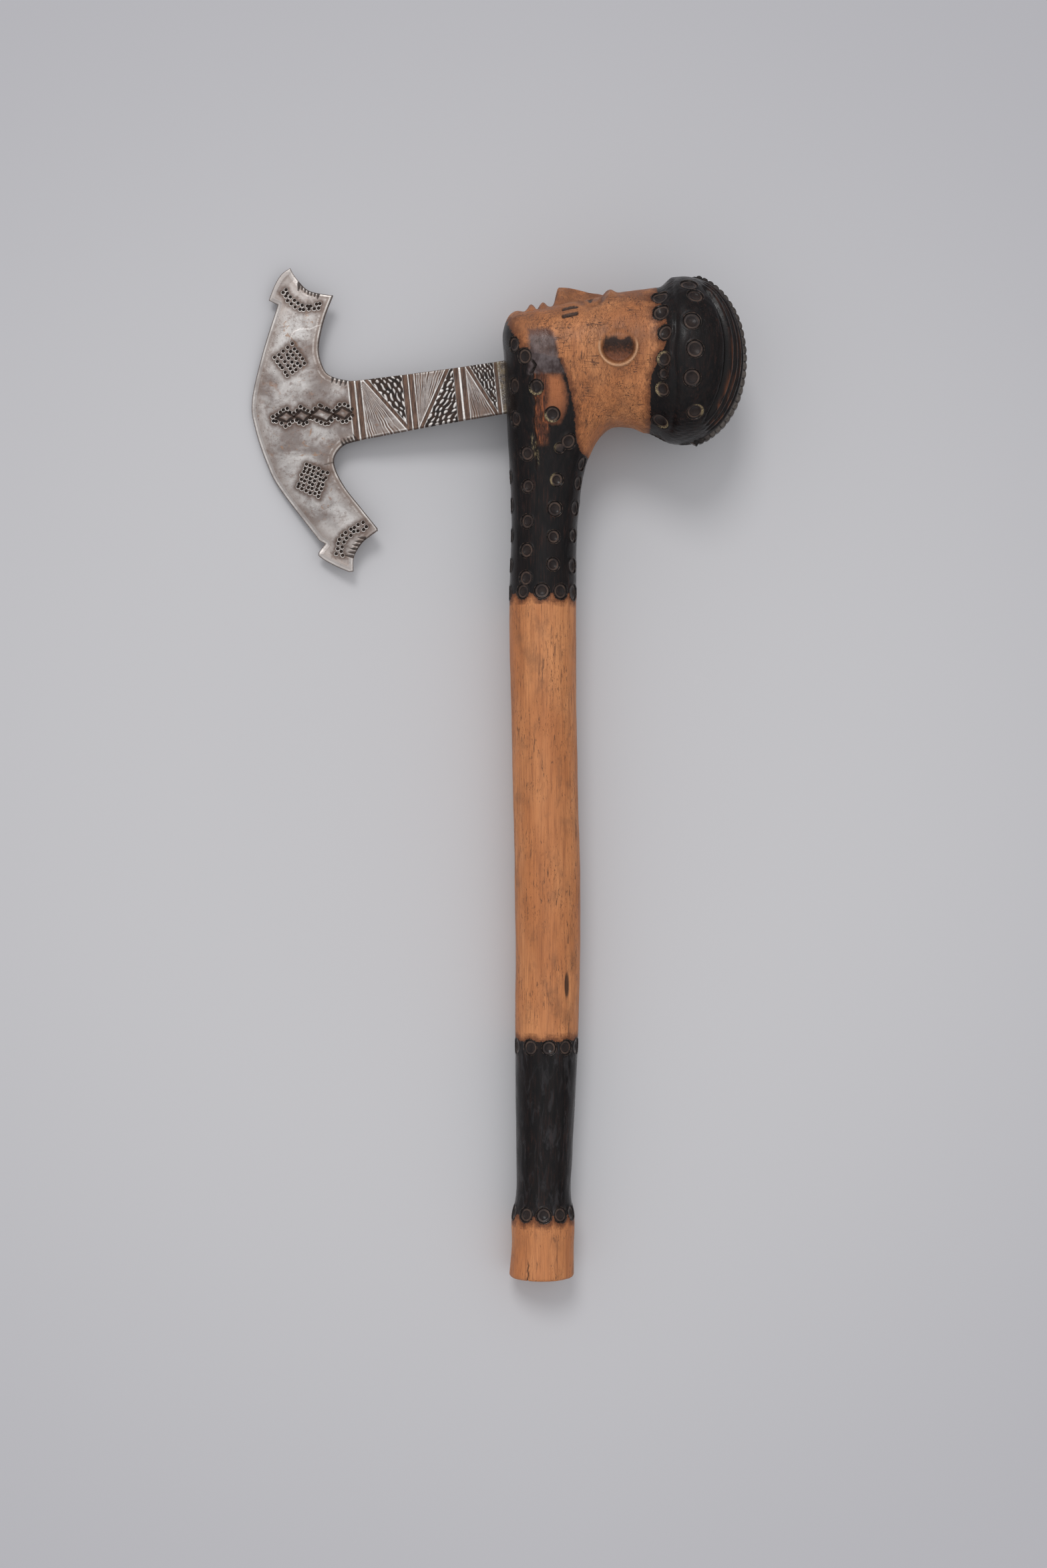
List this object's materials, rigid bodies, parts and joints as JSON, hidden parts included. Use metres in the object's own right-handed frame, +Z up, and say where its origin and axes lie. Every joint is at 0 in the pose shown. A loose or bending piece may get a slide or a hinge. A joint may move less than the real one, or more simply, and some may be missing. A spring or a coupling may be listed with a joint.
{
  "type": "ceremonial axe",
  "caption": "Ceremonial axe: carved wooden haft ending in a head with a scalloped hair cap, and a forged iron blade with horned ends.",
  "frame": {"origin": "middle of the floor area under the axe, which lies on its side in its rest pose", "axes": "+Y along the haft from the butt to the head, -X towards the cutting edge, +Z up from the floor"},
  "size_m": [0.205, 0.4232, 0.064],
  "materials": {
    "wood": "hand-polished hardwood, partly burnt black",
    "iron": "forged and polished iron with brown patina"
  },
  "bodies": {
    "root": {"haft": "wood", "blade": "iron"}
  },
  "joints": []
}
